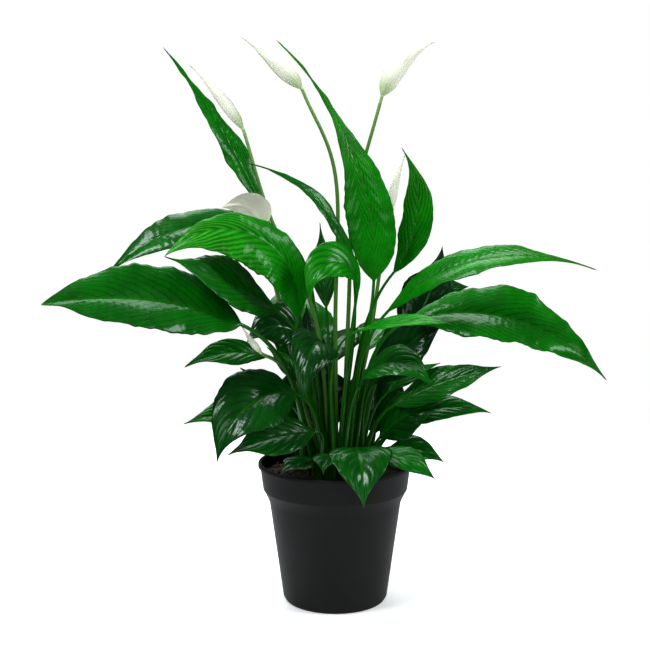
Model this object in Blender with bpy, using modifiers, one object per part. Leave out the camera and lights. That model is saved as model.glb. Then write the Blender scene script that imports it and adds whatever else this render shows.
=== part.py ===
"""Potted peace lily: a nursery pot, its potting mix, and a clump of leaves and flowers.

Metres, +Z up. The origin is the middle of the pot's underside. Bearings go round the pot
in degrees: 0 is +X (right), 90 is +Y (back), 180 is -X (left), 270 is -Y (front).
Each leaf is one grown piece: a leafstalk that rises from the mix, and a blade that bends
over from its first pitch to its last. A flower is a stalk, a white hood (the spathe)
and, where the hood is open, the spike inside it (the spadix).
"""

import math
from typing import NamedTuple

import bmesh
import bpy
from mathutils import Vector

# Pot, turned round Z
POT_HEIGHT = 0.110
RIM_RADIUS = 0.060
RIM_INNER_RADIUS = 0.0574
RIM_DEPTH = 0.0035
RIM_ROUND = 0.001
COLLAR_TOP_RADIUS = 0.0583
COLLAR_FOOT_RADIUS = 0.0563
COLLAR_FOOT_Z = 0.090
SHOULDER_RADIUS = 0.0538
SHOULDER_Z = 0.085
WALL_TOP_RADIUS = 0.0512
WALL_TOP_Z = 0.080
WALL_FOOT_RADIUS = 0.0408
WALL_FOOT_Z = 0.0035
HEEL_RADIUS = 0.0398
HEEL_Z = 0.001
BASE_RADIUS = 0.0375
WALL = 0.0012
INNER_STEP_Z = 0.091
FLOOR_TOP_Z = 0.0032
FLOOR_ROUND = 0.0015
RECESS_DEPTH = 0.0016
RECESS_DRAFT = 0.0008
FOOT_RING_INNER = 0.032
CENTRE_PAD_RADIUS = 0.012
DRAIN_HOLES = 8
DRAIN_HOLE_RADIUS = 0.004
DRAIN_CIRCLE_RADIUS = 0.022
DRILL_LENGTH = 0.02
DRILL_SIDES = 16
POT_STEPS = 48

# Potting mix
SOIL_TOP_Z = 0.100
GAP = 0.0003

# Leaves and flowers
BLADE_THICKNESS = 0.0008
FOLD = 0.42
SAG = 0.30
STALK_RINGS = 5
STALK_FOOT_SWELL = 1.5
STALK_LEAN = 0.5
FOOT_HANDLE = 0.40
START_HANDLE = 0.30
BLADE_STATIONS = (0.05, 0.14, 0.26, 0.40, 0.54, 0.68, 0.81, 0.92)
MIDRIB_STEPS = 48
FLOWER_STALK_RADIUS = 0.0012
UPRIGHT_FOOT = 0.005


class Leaf(NamedTuple):
    """A leaf's place and shape. Angles are in degrees, lengths in metres."""

    foot: tuple  # bearing and distance from the middle, where it leaves the mix
    start: tuple  # bearing, distance and height where the blade starts
    heading: float  # bearing that the blade goes along
    pitch: tuple  # the midrib's climb at its start and at its tip
    length: float
    width: float
    roll: float = 0.0  # turn of the blade about its midrib
    turn: float = 0.0  # change of heading from the start to the tip
    widest: float = 0.42  # where it is widest, as a fraction of its length
    taper: float = 1.15  # above 1, the tip is drawn out


LEAVES = {
    # Upper leaves
    "leaf_tall_left": Leaf(
        (140, 0.012), (145, 0.070, 0.305), 170, (65, 50), 0.150, 0.022, -40, widest=0.35
    ),
    "leaf_centre_tall": Leaf(
        (350, 0.005), (10, 0.030, 0.250), 180, (92, 42), 0.205, 0.038, -80,
        turn=-15, widest=0.22, taper=2.2,
    ),
    "leaf_upright_right": Leaf((40, 0.012), (25, 0.050, 0.255), 0, (50, 125), 0.105, 0.026, 65),
    "leaf_thin_arch": Leaf((290, 0.006), (315, 0.020, 0.250), 190, (85, 10), 0.130, 0.014, -50),
    "leaf_broad_upper_left": Leaf(
        (250, 0.012), (230, 0.045, 0.225), 200, (100, -50), 0.150, 0.054, -60, taper=1.0
    ),
    "leaf_far_upper_left": Leaf((168, 0.0125), (165, 0.055, 0.290), 195, (15, -50), 0.140, 0.036, -35),
    "leaf_middle_upper_left": Leaf((228, 0.013), (210, 0.050, 0.230), 220, (30, 20), 0.110, 0.036, -50),
    "leaf_upper_right_arch": Leaf(
        (318, 0.012), (330, 0.045, 0.230), 335, (45, -20), 0.170, 0.034, 40, widest=0.35, taper=1.3
    ),
    "leaf_right_long": Leaf((345, 0.013), (350, 0.055, 0.220), 345, (20, -50), 0.165, 0.052, 40),
    "leaf_right_back_round": Leaf((38, 0.019), (20, 0.055, 0.205), 15, (45, 85), 0.080, 0.044, 70),
    "leaf_right_back_pale": Leaf((60, 0.019), (35, 0.075, 0.225), 0, (40, 0), 0.050, 0.034, 45),
    "leaf_back_tip": Leaf((100, 0.012), (100, 0.040, 0.225), 110, (75, 80), 0.070, 0.020),
    "leaf_front_arch": Leaf((282, 0.012), (290, 0.045, 0.245), 210, (100, -115), 0.075, 0.032, -50),
    # Middle leaves
    "leaf_left_long": Leaf((218, 0.019), (220, 0.090, 0.225), 200, (25, -10), 0.145, 0.054, -50),
    "leaf_left_small": Leaf((192, 0.0215), (200, 0.055, 0.195), 210, (20, -25), 0.070, 0.024, -45),
    "leaf_left_short": Leaf((172, 0.019), (180, 0.035, 0.155), 195, (40, 35), 0.050, 0.024, -45),
    "leaf_left_inner": Leaf((205, 0.017), (190, 0.030, 0.175), 180, (60, 35), 0.035, 0.012, -45),
    "leaf_left_dark": Leaf((158, 0.0092), (190, 0.025, 0.205), 205, (55, -55), 0.055, 0.026, -60),
    "leaf_left_drooping": Leaf((246, 0.020), (235, 0.050, 0.170), 220, (20, -80), 0.095, 0.052, -40),
    "leaf_centre_drooping": Leaf((230, 0.005), (245, 0.015, 0.195), 255, (50, -95), 0.095, 0.032, -35),
    "leaf_centre_front": Leaf((266, 0.019), (285, 0.060, 0.220), 330, (20, -5), 0.075, 0.022, 20),
    "leaf_right_arch_low": Leaf((290, 0.019), (295, 0.040, 0.175), 320, (60, -50), 0.080, 0.034, 35),
    "leaf_right_inner": Leaf((0, 0.019), (10, 0.030, 0.170), 345, (55, 30), 0.080, 0.040, 55),
    "leaf_right_middle": Leaf((338, 0.020), (350, 0.045, 0.155), 345, (30, 15), 0.090, 0.032, 45),
    "leaf_right_small": Leaf((18, 0.019), (25, 0.045, 0.160), 10, (40, 15), 0.050, 0.016, 30),
    # Low leaves, out over the rim
    "leaf_rim_far_left": Leaf((192, 0.026), (190, 0.050, 0.145), 210, (20, -15), 0.075, 0.028, -40),
    "leaf_rim_left": Leaf((240, 0.027), (245, 0.035, 0.140), 210, (5, -20), 0.075, 0.034, -40),
    "leaf_rim_front_left": Leaf((251, 0.0265), (250, 0.040, 0.120), 225, (5, -20), 0.040, 0.020, -10),
    "leaf_rim_front": Leaf((262, 0.027), (265, 0.040, 0.125), 260, (5, -30), 0.035, 0.018),
    "leaf_front_drop": Leaf(
        (290, 0.027), (290, 0.045, 0.130), 275, (10, -80), 0.065, 0.042, widest=0.35, taper=1.3
    ),
    "leaf_rim_right": Leaf((308, 0.027), (305, 0.050, 0.125), 325, (10, -35), 0.055, 0.024, 20),
    "leaf_rim_far_right": Leaf((336, 0.027), (335, 0.045, 0.125), 345, (10, -35), 0.045, 0.024, 30),
    "leaf_right_low": Leaf((355, 0.027), (350, 0.035, 0.130), 340, (50, 10), 0.060, 0.042, 50),
    "leaf_right_low_pale": Leaf((20, 0.027), (20, 0.055, 0.135), 355, (35, -20), 0.075, 0.026, 40),
    # Leaves at the back
    "leaf_back_left": Leaf((124, 0.020), (120, 0.045, 0.160), 105, (85, 5), 0.120, 0.046, 10),
    "leaf_back_middle": Leaf((102, 0.020), (90, 0.050, 0.180), 90, (40, -55), 0.115, 0.046),
    "leaf_back_right": Leaf((82, 0.020), (60, 0.050, 0.190), 55, (40, -50), 0.105, 0.042),
    "leaf_back_low_left": Leaf((150, 0.027), (130, 0.045, 0.125), 100, (85, 60), 0.060, 0.040),
    "leaf_back_low_middle": Leaf((105, 0.028), (100, 0.045, 0.125), 90, (85, 65), 0.060, 0.048),
    "leaf_back_low_right": Leaf((45, 0.028), (45, 0.045, 0.125), 75, (85, 65), 0.065, 0.048),
    "leaf_back_upright_left": Leaf((135, 0.020), (130, 0.034, 0.150), 95, (88, 80), 0.080, 0.030),
}


class Flower(NamedTuple):
    """A flower: its stalk's route up from the mix, and the hood that goes on from the stalk's end."""

    route: tuple  # points of the stalk, in metres
    heading: float  # bearing that the hood leans towards
    pitch: tuple
    length: float
    width: float
    roll: float = 0.0  # turn of the hood about its middle


FURLED = {
    "left": Flower(
        (
            (-0.004, 0.006, SOIL_TOP_Z),
            (-0.015, 0.000, 0.220),
            (-0.050, 0.005, 0.300),
            (-0.070, 0.010, 0.365),
        ),
        180, (60, 40), 0.065, 0.009,
    ),
    "centre": Flower(
        (
            (0.001, 0.001, SOIL_TOP_Z),
            (0.000, 0.000, 0.220),
            (0.000, 0.000, 0.330),
            (-0.025, 0.000, 0.395),
        ),
        180, (50, 30), 0.060, 0.012,
    ),
    "right": Flower(
        (
            (0.006, 0.006, SOIL_TOP_Z),
            (0.010, 0.010, 0.220),
            (0.015, 0.010, 0.310),
            (0.035, 0.010, 0.390),
        ),
        0, (70, 20), 0.060, 0.014,
    ),
    "back": Flower(
        (
            (0.004, 0.012, SOIL_TOP_Z),
            (0.025, 0.030, 0.190),
            (0.035, 0.040, 0.250),
            (0.040, 0.040, 0.290),
        ),
        180, (100, 110), 0.060, 0.008,
    ),
    "bud": Flower(
        (
            (-0.008, -0.001, SOIL_TOP_Z),
            (-0.025, -0.020, 0.160),
            (-0.040, -0.030, 0.190),
            (-0.055, -0.035, 0.200),
        ),
        185, (50, 60), 0.025, 0.005,
    ),
}
OPEN = Flower(
    (
        (-0.013, -0.001, SOIL_TOP_Z),
        (-0.035, 0.000, 0.200),
        (-0.050, -0.005, 0.265),
        (-0.055, -0.010, 0.290),
    ),
    190, (80, -25), 0.040, 0.030, 55,
)
FURLED_STATIONS = (0.0, 0.08, 0.20, 0.33, 0.46, 0.60, 0.74, 0.88, 1.0)
HOOD_CUP = 1.6
HOOD_SEAT = 0.0007
SPADIX_LENGTH = 0.020
SPADIX_RADIUS = 0.0028
SPADIX_SEAT = 0.0009
SPADIX_LEAN = 0.45
# Fractions of the spike's length and of its radius
SPADIX_SHAPE = (
    (0.0, 0.22), (0.08, 0.26), (0.20, 0.80), (0.45, 1.0), (0.70, 0.96), (0.90, 0.70), (1.0, 0.25)
)

COLOURS = {
    "pot": ((0.018, 0.018, 0.020), 0.55),
    "soil": ((0.030, 0.018, 0.010), 0.95),
    "leaf": ((0.020, 0.110, 0.010), 0.30),
    "stalk": ((0.090, 0.240, 0.040), 0.45),
    "spathe": ((0.800, 0.800, 0.700), 0.45),
    "spadix": ((0.720, 0.660, 0.360), 0.60),
}


def clear_scene():
    for obj in list(bpy.data.objects):
        bpy.data.objects.remove(obj)


def collection(name):
    made = bpy.data.collections.new(name)
    bpy.context.scene.collection.children.link(made)
    return made


def material(name):
    colour, roughness = COLOURS[name]
    made = bpy.data.materials.new(name)
    made.use_nodes = True
    shader = made.node_tree.nodes["Principled BSDF"]
    shader.inputs["Base Color"].default_value = (*colour, 1)
    shader.inputs["Roughness"].default_value = roughness
    shader.inputs["Metallic"].default_value = 0
    return made


def add_object(name, bm, home, finish):
    """Puts a bmesh in the scene as one smooth-shaded object."""
    mesh = bpy.data.meshes.new(name)
    bm.to_mesh(mesh)
    bm.free()
    mesh.materials.append(finish)
    mesh.shade_smooth()
    obj = bpy.data.objects.new(name, mesh)
    home.objects.link(obj)
    return obj


def direction(bearing, pitch=0.0):
    level = math.cos(math.radians(pitch))
    x = level * math.cos(math.radians(bearing))
    y = level * math.sin(math.radians(bearing))
    return Vector((x, y, math.sin(math.radians(pitch))))


def round_place(bearing, distance, height):
    """The point at this bearing and distance from the pot's axis."""
    return direction(bearing) * distance + Vector((0, 0, height))


def turned(name, profile, home, finish):
    """A profile of (radius, height), listed from the top down its outer side, turned round Z."""
    bm = bmesh.new()
    points = [bm.verts.new((radius, 0, height)) for radius, height in profile]
    for first, second in zip(points, points[1:] + points[:1]):
        if first.co.x or second.co.x:
            bm.edges.new((first, second))
    obj = add_object(name, bm, home, finish)
    screw = obj.modifiers.new("turn", "SCREW")
    screw.steps = POT_STEPS
    screw.render_steps = POT_STEPS
    screw.use_merge_vertices = True
    screw.merge_threshold = 0.00001
    return obj


def pot_profile():
    """From the rim down the outside, under the floor, and up the inside."""
    return [
        (RIM_RADIUS - RIM_ROUND, POT_HEIGHT),
        (RIM_RADIUS, POT_HEIGHT - RIM_ROUND),
        (RIM_RADIUS, POT_HEIGHT - RIM_DEPTH),
        (COLLAR_TOP_RADIUS, POT_HEIGHT - RIM_DEPTH - RIM_ROUND),
        (COLLAR_FOOT_RADIUS, COLLAR_FOOT_Z),
        (SHOULDER_RADIUS, SHOULDER_Z),
        (WALL_TOP_RADIUS, WALL_TOP_Z),
        (WALL_FOOT_RADIUS, WALL_FOOT_Z),
        (HEEL_RADIUS, HEEL_Z),
        (BASE_RADIUS, 0),
        (FOOT_RING_INNER, 0),
        (FOOT_RING_INNER - RECESS_DRAFT, RECESS_DEPTH),
        (CENTRE_PAD_RADIUS + RECESS_DRAFT, RECESS_DEPTH),
        (CENTRE_PAD_RADIUS, 0),
        (0, 0),
        (0, FLOOR_TOP_Z),
        (WALL_FOOT_RADIUS - WALL - FLOOR_ROUND, FLOOR_TOP_Z),
        (WALL_FOOT_RADIUS - WALL, FLOOR_TOP_Z + FLOOR_ROUND),
        (WALL_TOP_RADIUS - WALL, WALL_TOP_Z),
        (COLLAR_FOOT_RADIUS - WALL, INNER_STEP_Z),
        (COLLAR_TOP_RADIUS - WALL, POT_HEIGHT - RIM_DEPTH),
        (RIM_INNER_RADIUS, POT_HEIGHT),
    ]


def drill(name, radius, place, home):
    """A cutter for a round hole along Z."""
    bm = bmesh.new()
    bmesh.ops.create_cone(
        bm,
        cap_ends=True,
        segments=DRILL_SIDES,
        radius1=radius,
        radius2=radius,
        depth=DRILL_LENGTH,
    )
    cutter = add_object(name, bm, home, None)
    cutter.location = place
    cutter.hide_render = True
    cutter.display_type = "WIRE"
    return cutter


def make_pot(home, cutters, finish):
    pot = turned("pot", pot_profile(), home, finish)
    for index in range(DRAIN_HOLES):
        place = round_place(360 * index / DRAIN_HOLES, DRAIN_CIRCLE_RADIUS, FLOOR_TOP_Z)
        hole = pot.modifiers.new(f"drain_{index}", "BOOLEAN")
        hole.operation = "DIFFERENCE"
        hole.object = drill(f"drain_drill_{index}", DRAIN_HOLE_RADIUS, place, cutters)
    return pot


def make_potting_mix(home, finish):
    """The mix follows the pot's inside, a small gap clear of it."""
    clear = WALL + GAP
    collar_inside_height = POT_HEIGHT - RIM_DEPTH - INNER_STEP_Z
    slope = (COLLAR_TOP_RADIUS - COLLAR_FOOT_RADIUS) / collar_inside_height
    top_radius = COLLAR_FOOT_RADIUS - clear + slope * (SOIL_TOP_Z - INNER_STEP_Z)
    profile = [
        (0, SOIL_TOP_Z),
        (top_radius, SOIL_TOP_Z),
        (COLLAR_FOOT_RADIUS - clear, INNER_STEP_Z),
        (WALL_TOP_RADIUS - clear, WALL_TOP_Z),
        (WALL_FOOT_RADIUS - clear, FLOOR_TOP_Z + FLOOR_ROUND),
        (WALL_FOOT_RADIUS - clear - FLOOR_ROUND, FLOOR_TOP_Z + GAP),
        (0, FLOOR_TOP_Z + GAP),
    ]
    return turned("potting_mix", profile, home, finish)


def bezier(start, first_handle, second_handle, end, t):
    s = 1 - t
    return (
        start * s**3 + first_handle * (3 * s * s * t) + second_handle * (3 * s * t * t) + end * t**3
    )


def leafstalk_point(leaf, t):
    """A point of the leafstalk, which leaves the mix nearly upright and runs into the blade."""
    foot = round_place(*leaf.foot, SOIL_TOP_Z + GAP)
    start = round_place(*leaf.start)
    span = (start - foot).length
    outward = Vector((start.x - foot.x, start.y - foot.y, 0)) / span
    rise = (Vector((0, 0, 1)) + STALK_LEAN * outward).normalized()
    return bezier(
        foot,
        foot + rise * (FOOT_HANDLE * span),
        start - direction(leaf.heading, leaf.pitch[0]) * (START_HANDLE * span),
        start,
        t,
    )


def midrib(leaf):
    """Points and directions along the blade's midrib, from its start to its tip."""
    place = round_place(*leaf.start)
    found = []
    for step in range(MIDRIB_STEPS + 1):
        s = step / MIDRIB_STEPS
        heading = leaf.heading + leaf.turn * s
        pitch = leaf.pitch[0] + (leaf.pitch[1] - leaf.pitch[0]) * s
        along = direction(heading, pitch)
        found.append((place.copy(), along, heading))
        place += along * (leaf.length / MIDRIB_STEPS)
    return found


def outline(leaf, s):
    """The blade's half width at a fraction of its length."""
    bulge = s ** (math.log(0.5) / math.log(leaf.widest))
    return 0.5 * leaf.width * math.sin(math.pi * bulge) ** leaf.taper


def stalk_taper(t):
    """Any stalk is thickest where it leaves the mix."""
    return STALK_FOOT_SWELL + (1 - STALK_FOOT_SWELL) * t


def stalk_radius(leaf, t):
    """A broad blade has a stouter leafstalk."""
    return (0.0007 + 0.011 * leaf.width) * stalk_taper(t)


def section(centre, along, across, half_width, half_height, cup=0.0):
    """Eight points round a flattened section. cup folds the two halves up from the midrib."""
    up = along.cross(across)
    points = []
    for corner in range(8):
        angle = math.radians(45 * corner)
        u = math.cos(angle)
        lift = cup * half_width * (FOLD * abs(u) - SAG * u * u)
        height = half_height * math.sin(angle) + lift
        points.append(centre + across * (half_width * u) + up * height)
    return points


def loft(name, rings, tip, home, finish):
    """One closed skin over a row of rings, capped flat at the first and drawn to a tip."""
    bm = bmesh.new()
    rows = [[bm.verts.new(point) for point in ring] for ring in rings]
    count = len(rows[0])
    bm.faces.new(rows[0])
    for lower, upper in zip(rows, rows[1:]):
        for i in range(count):
            j = (i + 1) % count
            bm.faces.new((lower[i], lower[j], upper[j], upper[i]))
    end = bm.verts.new(tip)
    for i in range(count):
        bm.faces.new((rows[-1][i], rows[-1][(i + 1) % count], end))
    bmesh.ops.recalc_face_normals(bm, faces=bm.faces)
    return add_object(name, bm, home, finish)


def across_blade(heading, along, roll):
    level = direction(heading + 90)
    up = along.cross(level)
    turn = math.radians(roll)
    return level * math.cos(turn) + up * math.sin(turn)


def leaf_rings(leaf):
    rings = []
    ribs = midrib(leaf)
    end_across = across_blade(leaf.heading, ribs[0][1], leaf.roll)
    for step in range(STALK_RINGS + 1):
        t = step / STALK_RINGS
        centre = leafstalk_point(leaf, t)
        ahead = leafstalk_point(leaf, min(t + 0.01, 1))
        behind = leafstalk_point(leaf, max(t - 0.01, 0))
        along = (ahead - behind).normalized() if step else Vector((0, 0, 1))
        across = (end_across - along * end_across.dot(along)).normalized()
        radius = stalk_radius(leaf, t)
        rings.append(section(centre, along, across, radius, radius))
    for s in BLADE_STATIONS:
        centre, along, heading = ribs[round(s * MIDRIB_STEPS)]
        across = across_blade(heading, along, leaf.roll)
        half_width = max(outline(leaf, s), stalk_radius(leaf, 1))
        thin = max(0.0, 1 - s / BLADE_STATIONS[1])
        half_height = max(BLADE_THICKNESS / 2, stalk_radius(leaf, 1) * thin)
        rings.append(section(centre, along, across, half_width, half_height, cup=1 - thin))
    return rings, ribs[-1][0]


def smooth_route(points, steps):
    """Points along a Catmull-Rom curve through the given ones."""
    ends = [2 * points[0] - points[1], *points, 2 * points[-1] - points[-2]]
    found = []
    for index in range(1, len(ends) - 2):
        a, b, c, d = ends[index - 1 : index + 3]
        for step in range(steps):
            t = step / steps
            bend = (2 * a - 5 * b + 4 * c - d) * t**2 + (3 * b - 3 * c + d - a) * t**3
            found.append(0.5 * (2 * b + (c - a) * t + bend))
    return [*found, points[-1]]


def tube(name, route, radii, home, finish):
    """A round rod along a route, as a curve with its own radius at each point."""
    curve = bpy.data.curves.new(name, "CURVE")
    curve.dimensions = "3D"
    curve.bevel_depth = 1
    curve.bevel_resolution = 2
    curve.use_fill_caps = True
    curve.materials.append(finish)
    spline = curve.splines.new("POLY")
    spline.points.add(len(route) - 1)
    spline.use_smooth = True
    for point, place, radius in zip(spline.points, route, radii):
        point.co = (*place, 1)
        point.radius = radius
    obj = bpy.data.objects.new(name, curve)
    home.objects.link(obj)
    return obj


def hood_leaf(flower):
    """The open hood has a blade's shape, so it is described as a leaf."""
    end = flower.route[-1]
    bearing = math.degrees(math.atan2(end[1], end[0]))
    start = (bearing, math.hypot(end[0], end[1]), end[2])
    return Leaf((0, 0), start, flower.heading, flower.pitch, flower.length, flower.width)


def make_stalk(name, flower, home, finish):
    """The stalk leaves the mix upright for its first few millimetres."""
    route = [Vector(point) for point in flower.route]
    foot = route[0] + Vector((0, 0, GAP))
    route[0] = foot + Vector((0, 0, UPRIGHT_FOOT))
    places = [foot, *smooth_route(route, 5)]
    last = len(places) - 1
    radii = [FLOWER_STALK_RADIUS * stalk_taper(i / last) for i in range(last + 1)]
    return tube(name, places, radii, home, finish)


def furled_radius(flower, s):
    """A spindle, fattest a little below its middle, as thick as the stalk at its foot."""
    spindle = 0.5 * flower.width * math.sin(math.pi * s**0.85)
    return max(spindle, FLOWER_STALK_RADIUS * (1 - 0.7 * s))


def make_furled_hood(name, flower, home, finish):
    """A hood still rolled round its spike: it bends as a blade's midrib does."""
    ribs = midrib(hood_leaf(flower))
    lift = ribs[0][1] * (2 * GAP)
    places = [ribs[round(s * MIDRIB_STEPS)][0] + lift for s in FURLED_STATIONS]
    radii = [furled_radius(flower, s) for s in FURLED_STATIONS]
    return tube(name, places, radii, home, finish)


def make_open_hood(name, flower, home, finish):
    """The hood's narrow base sits on the lower half of the stalk's end."""
    leaf = hood_leaf(flower)
    ribs = midrib(leaf)
    first = ribs[0][1]
    first_across = across_blade(flower.heading, first, flower.roll)
    seat = first * (2 * GAP) - first.cross(first_across) * HOOD_SEAT
    rings = []
    for s in (0.0, *BLADE_STATIONS):
        centre, along, heading = ribs[round(s * MIDRIB_STEPS)]
        half_width = max(outline(leaf, s), 0.8 * FLOWER_STALK_RADIUS)
        across = across_blade(heading, along, flower.roll)
        cup = HOOD_CUP * min(1, s / BLADE_STATIONS[1])
        rings.append(section(centre + seat, along, across, half_width, BLADE_THICKNESS / 2, cup))
    return loft(name, rings, ribs[-1][0] + seat, home, finish)


def make_spadix(name, flower, home, finish):
    """The spike rises from the upper half of the stalk's end and leans away from the hood."""
    along = direction(flower.heading, flower.pitch[0])
    up = along.cross(across_blade(flower.heading, along, flower.roll))
    base = Vector(flower.route[-1]) + along * (2 * GAP) + up * SPADIX_SEAT
    lean = (along + SPADIX_LEAN * up).normalized()
    places = [base + lean * (SPADIX_LENGTH * s) for s, _ in SPADIX_SHAPE]
    radii = [SPADIX_RADIUS * wide for _, wide in SPADIX_SHAPE]
    return tube(name, places, radii, home, finish)


def main():
    clear_scene()
    home = collection("potted_peace_lily")
    cutters = collection("cutters")
    finishes = {name: material(name) for name in COLOURS}
    make_pot(home, cutters, finishes["pot"])
    make_potting_mix(home, finishes["soil"])
    for name, leaf in LEAVES.items():
        rings, tip = leaf_rings(leaf)
        loft(name, rings, tip, home, finishes["leaf"])
    for name, flower in FURLED.items():
        make_stalk(f"stalk_{name}", flower, home, finishes["stalk"])
        make_furled_hood(f"spathe_{name}", flower, home, finishes["spathe"])
    make_stalk("stalk_open", OPEN, home, finishes["stalk"])
    make_open_hood("spathe_open", OPEN, home, finishes["spathe"])
    make_spadix("spadix_open", OPEN, home, finishes["spadix"])


main()
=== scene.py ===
# %% [markdown]
# # A potted peace lily
#
# A peace lily is a clump of leaves and flowers that all rise from one crown in the potting mix.
# Each leaf is one grown piece: a stalk, and a blade that bends over from its first pitch to its
# last. Each flower is a stalk, a white hood (the spathe) and, where the hood has opened, the
# knobbly spike inside it (the spadix). All of it stands in a plain black nursery pot.
#
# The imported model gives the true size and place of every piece. It is loaded first, as a fixed
# frame, and each piece made here stands exactly where its plain solid stands.

# %% Load the frame
import math
import random
from typing import NamedTuple

import bmesh
import bpy
from mathutils import Euler, Matrix, Vector, noise


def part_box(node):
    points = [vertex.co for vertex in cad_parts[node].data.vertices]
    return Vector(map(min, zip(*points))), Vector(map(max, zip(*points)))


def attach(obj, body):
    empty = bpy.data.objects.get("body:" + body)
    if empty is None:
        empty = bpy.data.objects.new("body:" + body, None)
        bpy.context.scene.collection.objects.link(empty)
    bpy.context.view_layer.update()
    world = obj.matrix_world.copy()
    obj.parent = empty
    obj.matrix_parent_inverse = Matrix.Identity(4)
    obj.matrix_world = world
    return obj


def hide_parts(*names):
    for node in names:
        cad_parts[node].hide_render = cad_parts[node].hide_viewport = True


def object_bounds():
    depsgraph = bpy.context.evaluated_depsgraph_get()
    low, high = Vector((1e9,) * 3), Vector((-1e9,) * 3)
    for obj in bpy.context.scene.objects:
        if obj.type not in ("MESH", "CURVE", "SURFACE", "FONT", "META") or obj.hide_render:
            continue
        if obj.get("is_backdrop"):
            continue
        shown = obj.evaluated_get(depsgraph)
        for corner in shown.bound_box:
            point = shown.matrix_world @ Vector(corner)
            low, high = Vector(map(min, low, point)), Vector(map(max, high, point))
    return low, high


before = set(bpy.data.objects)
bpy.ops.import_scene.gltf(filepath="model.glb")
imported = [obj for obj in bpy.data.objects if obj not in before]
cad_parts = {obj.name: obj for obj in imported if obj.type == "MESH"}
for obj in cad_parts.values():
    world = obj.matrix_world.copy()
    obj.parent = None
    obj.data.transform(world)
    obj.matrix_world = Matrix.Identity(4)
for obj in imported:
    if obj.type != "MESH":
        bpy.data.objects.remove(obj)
cad_low, cad_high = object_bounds()
print(f"{len(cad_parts)} pieces, {1000 * (cad_high[2] - cad_low[2]):.0f} mm high")

# %% [markdown]
# ## Camera, light and floor
#
# A plant is shown best through a long lens from about a metre, a little above the pot, so that
# the pot's rim is a thin ellipse. Four large soft boxes light it: the key high on the left, a
# weaker one on the right, a weak fill in front, and one above the back that shines along the
# blades. Large boxes give the broad, milky streaks that a waxy leaf shows along its veins. The
# surroundings are white only where the lens sees them, because a white room all round would wash
# the greens out. The gamma a little under 1 deepens the shade inside the clump.

# %% Camera
CAMERA_PLACE = (-0.008, -0.95, 0.342)
CAMERA_TILT = 7.5
LENS = 69
GAMMA = 0.8

lens = bpy.data.cameras.new("camera")
lens.lens = LENS
lens.sensor_width = 36
camera = bpy.data.objects.new("camera", lens)
camera.location = CAMERA_PLACE
camera.rotation_euler = (math.radians(90 - CAMERA_TILT), 0, 0)
bpy.context.scene.collection.objects.link(camera)
bpy.context.scene.camera = camera
bpy.context.scene.view_settings.view_transform = "Standard"
bpy.context.scene.view_settings.gamma = GAMMA
print(f"camera {-CAMERA_PLACE[1]:.2f} m away, {LENS} mm lens")

# %% Soft boxes
AIM = Vector((0, 0, 0.22))


def softbox(name, place, size, watts, colour):
    """A square area light at a place, turned to face the middle of the plant."""
    light = bpy.data.lights.new(name, "AREA")
    light.size = size
    light.energy = watts
    light.color = colour
    lamp = bpy.data.objects.new(name, light)
    lamp.location = place
    lamp.rotation_euler = (Vector(place) - AIM).to_track_quat("Z", "Y").to_euler()
    bpy.context.scene.collection.objects.link(lamp)


COOL = (0.93, 0.97, 1.0)
NEUTRAL = (1.0, 1.0, 1.0)
softbox("key", (-0.75, -0.45, 1.35), 0.55, 21, COOL)
softbox("side", (1.1, -0.35, 1.0), 0.5, 13, COOL)
softbox("front", (0.15, -1.6, 0.75), 0.8, 9, NEUTRAL)
softbox("back", (-0.1, 0.7, 1.35), 0.9, 18, COOL)

# %% Surroundings
SEEN = 1.0
FELT = 0.06

world = bpy.data.worlds.new("studio")
world.use_nodes = True
bpy.context.scene.world = world
tree = world.node_tree
ray = tree.nodes.new("ShaderNodeLightPath")
choice = tree.nodes.new("ShaderNodeMixShader")
tree.links.new(ray.outputs["Is Camera Ray"], choice.inputs["Fac"])
backgrounds = (tree.nodes["Background"], tree.nodes.new("ShaderNodeBackground"))
for side, (background, strength) in enumerate(zip(backgrounds, (FELT, SEEN))):
    background.inputs["Color"].default_value = (1, 1, 1, 1)
    background.inputs["Strength"].default_value = strength
    tree.links.new(background.outputs[0], choice.inputs[1 + side])
tree.links.new(choice.outputs[0], tree.nodes["World Output"].inputs["Surface"])
print(f"surroundings: {SEEN} seen, {FELT} felt")

# %% [markdown]
# ## Writing materials
#
# A material is easier to read as arithmetic than as a web of boxes. `Value` wraps the output of a
# node, so that `1 - mask` or `veins * 0.3` adds the Math nodes it stands for. Every other node
# comes from one method of `Finish`, which sets the node's own settings first and its sockets next.


# %% Value: a number that varies over a surface
class Value:
    """Arithmetic on it adds Math nodes."""

    def __init__(self, finish, socket):
        self.finish = finish
        self.socket = socket

    def maths(self, operation, *numbers):
        return self.finish.node("ShaderNodeMath", {"operation": operation}, dict(enumerate(numbers)))

    def __add__(self, other):
        return self.maths("ADD", self, other)

    def __sub__(self, other):
        return self.maths("SUBTRACT", self, other)

    def __rsub__(self, other):
        return self.maths("SUBTRACT", other, self)

    def __mul__(self, other):
        return self.maths("MULTIPLY", self, other)

    def __abs__(self):
        return self.maths("ABSOLUTE", self)

    __radd__ = __add__
    __rmul__ = __mul__

    def zigzag(self):
        """0 at each whole number and 1 half way between, in straight lines."""
        return self.maths("PINGPONG", self, 0.5) * 2


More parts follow.
